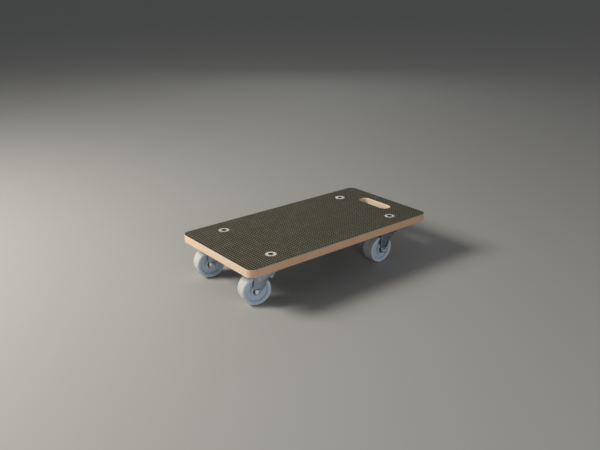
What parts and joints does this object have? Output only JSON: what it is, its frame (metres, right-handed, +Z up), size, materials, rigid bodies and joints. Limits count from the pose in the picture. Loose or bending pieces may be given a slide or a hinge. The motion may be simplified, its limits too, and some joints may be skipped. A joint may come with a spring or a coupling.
{
  "type": "platform dolly",
  "caption": "Small rectangular platform dolly with an anti-slip plywood deck, a hand slot near one end and swivel casters held by through-bolts.",
  "frame": {"origin": "on the floor, under the middle of the deck", "axes": "+X along the deck towards the end with the hand slot, +Y to the left, +Z up"},
  "size_m": [0.6, 0.3, 0.119],
  "materials": {
    "birch_plywood": "bare sanded birch plywood edge, plies just showing",
    "anti_slip_film": "dark phenolic film pressed with a fine square mesh",
    "smooth_film": "smooth dark brown phenolic film",
    "bright_fasteners": "bright zinc, lightly worn",
    "zinc_plated_steel": "zinc plated pressed sheet, satin",
    "bearing_steel": "polished",
    "wheel_plastic": "grey moulded plastic",
    "grey_tyre": "grey non-marking rubber, dusty and scuffed on the tread",
    "bush_plastic": "dark moulded nylon"
  },
  "bodies": {
    "deck": {"deck_board": "birch_plywood", "top_film": "anti_slip_film", "bottom_film": "smooth_film", "caster_bolts": "bright_fasteners", "bolt_washers": "bright_fasteners", "lock_nuts": "bright_fasteners", "front_left_head_cap": "zinc_plated_steel", "front_left_lower_race": "zinc_plated_steel", "front_left_kingpin_sleeve": "zinc_plated_steel", "front_right_head_cap": "zinc_plated_steel", "front_right_lower_race": "zinc_plated_steel", "front_right_kingpin_sleeve": "zinc_plated_steel", "rear_left_head_cap": "zinc_plated_steel", "rear_left_lower_race": "zinc_plated_steel", "rear_left_kingpin_sleeve": "zinc_plated_steel", "rear_right_head_cap": "zinc_plated_steel", "rear_right_lower_race": "zinc_plated_steel", "rear_right_kingpin_sleeve": "zinc_plated_steel"},
    "front_left_swivel": {"front_left_fork": "zinc_plated_steel", "front_left_axle_bolt": "bright_fasteners", "front_left_axle_nut": "bright_fasteners", "front_left_axle_sleeve": "zinc_plated_steel", "front_left_spacer_collars": "bush_plastic"},
    "front_left_ball_rings": {"front_left_upper_balls": "bearing_steel", "front_left_lower_balls": "bearing_steel"},
    "front_left_wheel": {"front_left_wheel_core": "wheel_plastic", "front_left_tyre": "grey_tyre", "front_left_hub_bushes": "bush_plastic"},
    "front_right_swivel": {"front_right_fork": "zinc_plated_steel", "front_right_axle_bolt": "bright_fasteners", "front_right_axle_nut": "bright_fasteners", "front_right_axle_sleeve": "zinc_plated_steel", "front_right_spacer_collars": "bush_plastic"},
    "front_right_ball_rings": {"front_right_upper_balls": "bearing_steel", "front_right_lower_balls": "bearing_steel"},
    "front_right_wheel": {"front_right_wheel_core": "wheel_plastic", "front_right_tyre": "grey_tyre", "front_right_hub_bushes": "bush_plastic"},
    "rear_left_swivel": {"rear_left_fork": "zinc_plated_steel", "rear_left_axle_bolt": "bright_fasteners", "rear_left_axle_nut": "bright_fasteners", "rear_left_axle_sleeve": "zinc_plated_steel", "rear_left_spacer_collars": "bush_plastic"},
    "rear_left_ball_rings": {"rear_left_upper_balls": "bearing_steel", "rear_left_lower_balls": "bearing_steel"},
    "rear_left_wheel": {"rear_left_wheel_core": "wheel_plastic", "rear_left_tyre": "grey_tyre", "rear_left_hub_bushes": "bush_plastic"},
    "rear_right_swivel": {"rear_right_fork": "zinc_plated_steel", "rear_right_axle_bolt": "bright_fasteners", "rear_right_axle_nut": "bright_fasteners", "rear_right_axle_sleeve": "zinc_plated_steel", "rear_right_spacer_collars": "bush_plastic"},
    "rear_right_ball_rings": {"rear_right_upper_balls": "bearing_steel", "rear_right_lower_balls": "bearing_steel"},
    "rear_right_wheel": {"rear_right_wheel_core": "wheel_plastic", "rear_right_tyre": "grey_tyre", "rear_right_hub_bushes": "bush_plastic"}
  },
  "joints": [
    {"name": "front_left_swivel_turn", "type": "hinge", "parent": "deck", "child": "front_left_swivel", "pos_m": [0.204, 0.1, 0.0895], "axis": [0, 0, 1], "continuous": true},
    {"name": "front_left_ball_roll", "type": "hinge", "parent": "deck", "child": "front_left_ball_rings", "pos_m": [0.204, 0.1, 0.0895], "axis": [0, 0, 1], "continuous": true},
    {"name": "front_left_wheel_spin", "type": "hinge", "parent": "front_left_swivel", "child": "front_left_wheel", "pos_m": [0.16043, 0.10612, 0.0375], "axis": [-0.1392, -0.9903, 0], "continuous": true},
    {"name": "front_right_swivel_turn", "type": "hinge", "parent": "deck", "child": "front_right_swivel", "pos_m": [0.204, -0.1, 0.0895], "axis": [0, 0, 1], "continuous": true},
    {"name": "front_right_ball_roll", "type": "hinge", "parent": "deck", "child": "front_right_ball_rings", "pos_m": [0.204, -0.1, 0.0895], "axis": [0, 0, 1], "continuous": true},
    {"name": "front_right_wheel_spin", "type": "hinge", "parent": "front_right_swivel", "child": "front_right_wheel", "pos_m": [0.16001, -0.09923, 0.0375], "axis": [-0.0175, -0.9998, 0], "continuous": true},
    {"name": "rear_left_swivel_turn", "type": "hinge", "parent": "deck", "child": "rear_left_swivel", "pos_m": [-0.204, 0.1, 0.0895], "axis": [0, 0, 1], "continuous": true},
    {"name": "rear_left_ball_roll", "type": "hinge", "parent": "deck", "child": "rear_left_ball_rings", "pos_m": [-0.204, 0.1, 0.0895], "axis": [0, 0, 1], "continuous": true},
    {"name": "rear_left_wheel_spin", "type": "hinge", "parent": "rear_left_swivel", "child": "rear_left_wheel", "pos_m": [-0.24687, 0.1099, 0.0375], "axis": [-0.225, -0.9744, 0], "continuous": true},
    {"name": "rear_right_swivel_turn", "type": "hinge", "parent": "deck", "child": "rear_right_swivel", "pos_m": [-0.204, -0.1, 0.0895], "axis": [0, 0, 1], "continuous": true},
    {"name": "rear_right_ball_roll", "type": "hinge", "parent": "deck", "child": "rear_right_ball_rings", "pos_m": [-0.204, -0.1, 0.0895], "axis": [0, 0, 1], "continuous": true},
    {"name": "rear_right_wheel_spin", "type": "hinge", "parent": "rear_right_swivel", "child": "rear_right_wheel", "pos_m": [-0.24669, -0.08936, 0.0375], "axis": [-0.2419, -0.9703, 0], "continuous": true}
  ],
  "couplings": [
    {"joint": "front_left_ball_roll", "follows": "front_left_swivel_turn", "ratio": 0.5},
    {"joint": "front_right_ball_roll", "follows": "front_right_swivel_turn", "ratio": 0.5},
    {"joint": "rear_left_ball_roll", "follows": "rear_left_swivel_turn", "ratio": 0.5},
    {"joint": "rear_right_ball_roll", "follows": "rear_right_swivel_turn", "ratio": 0.5}
  ]
}
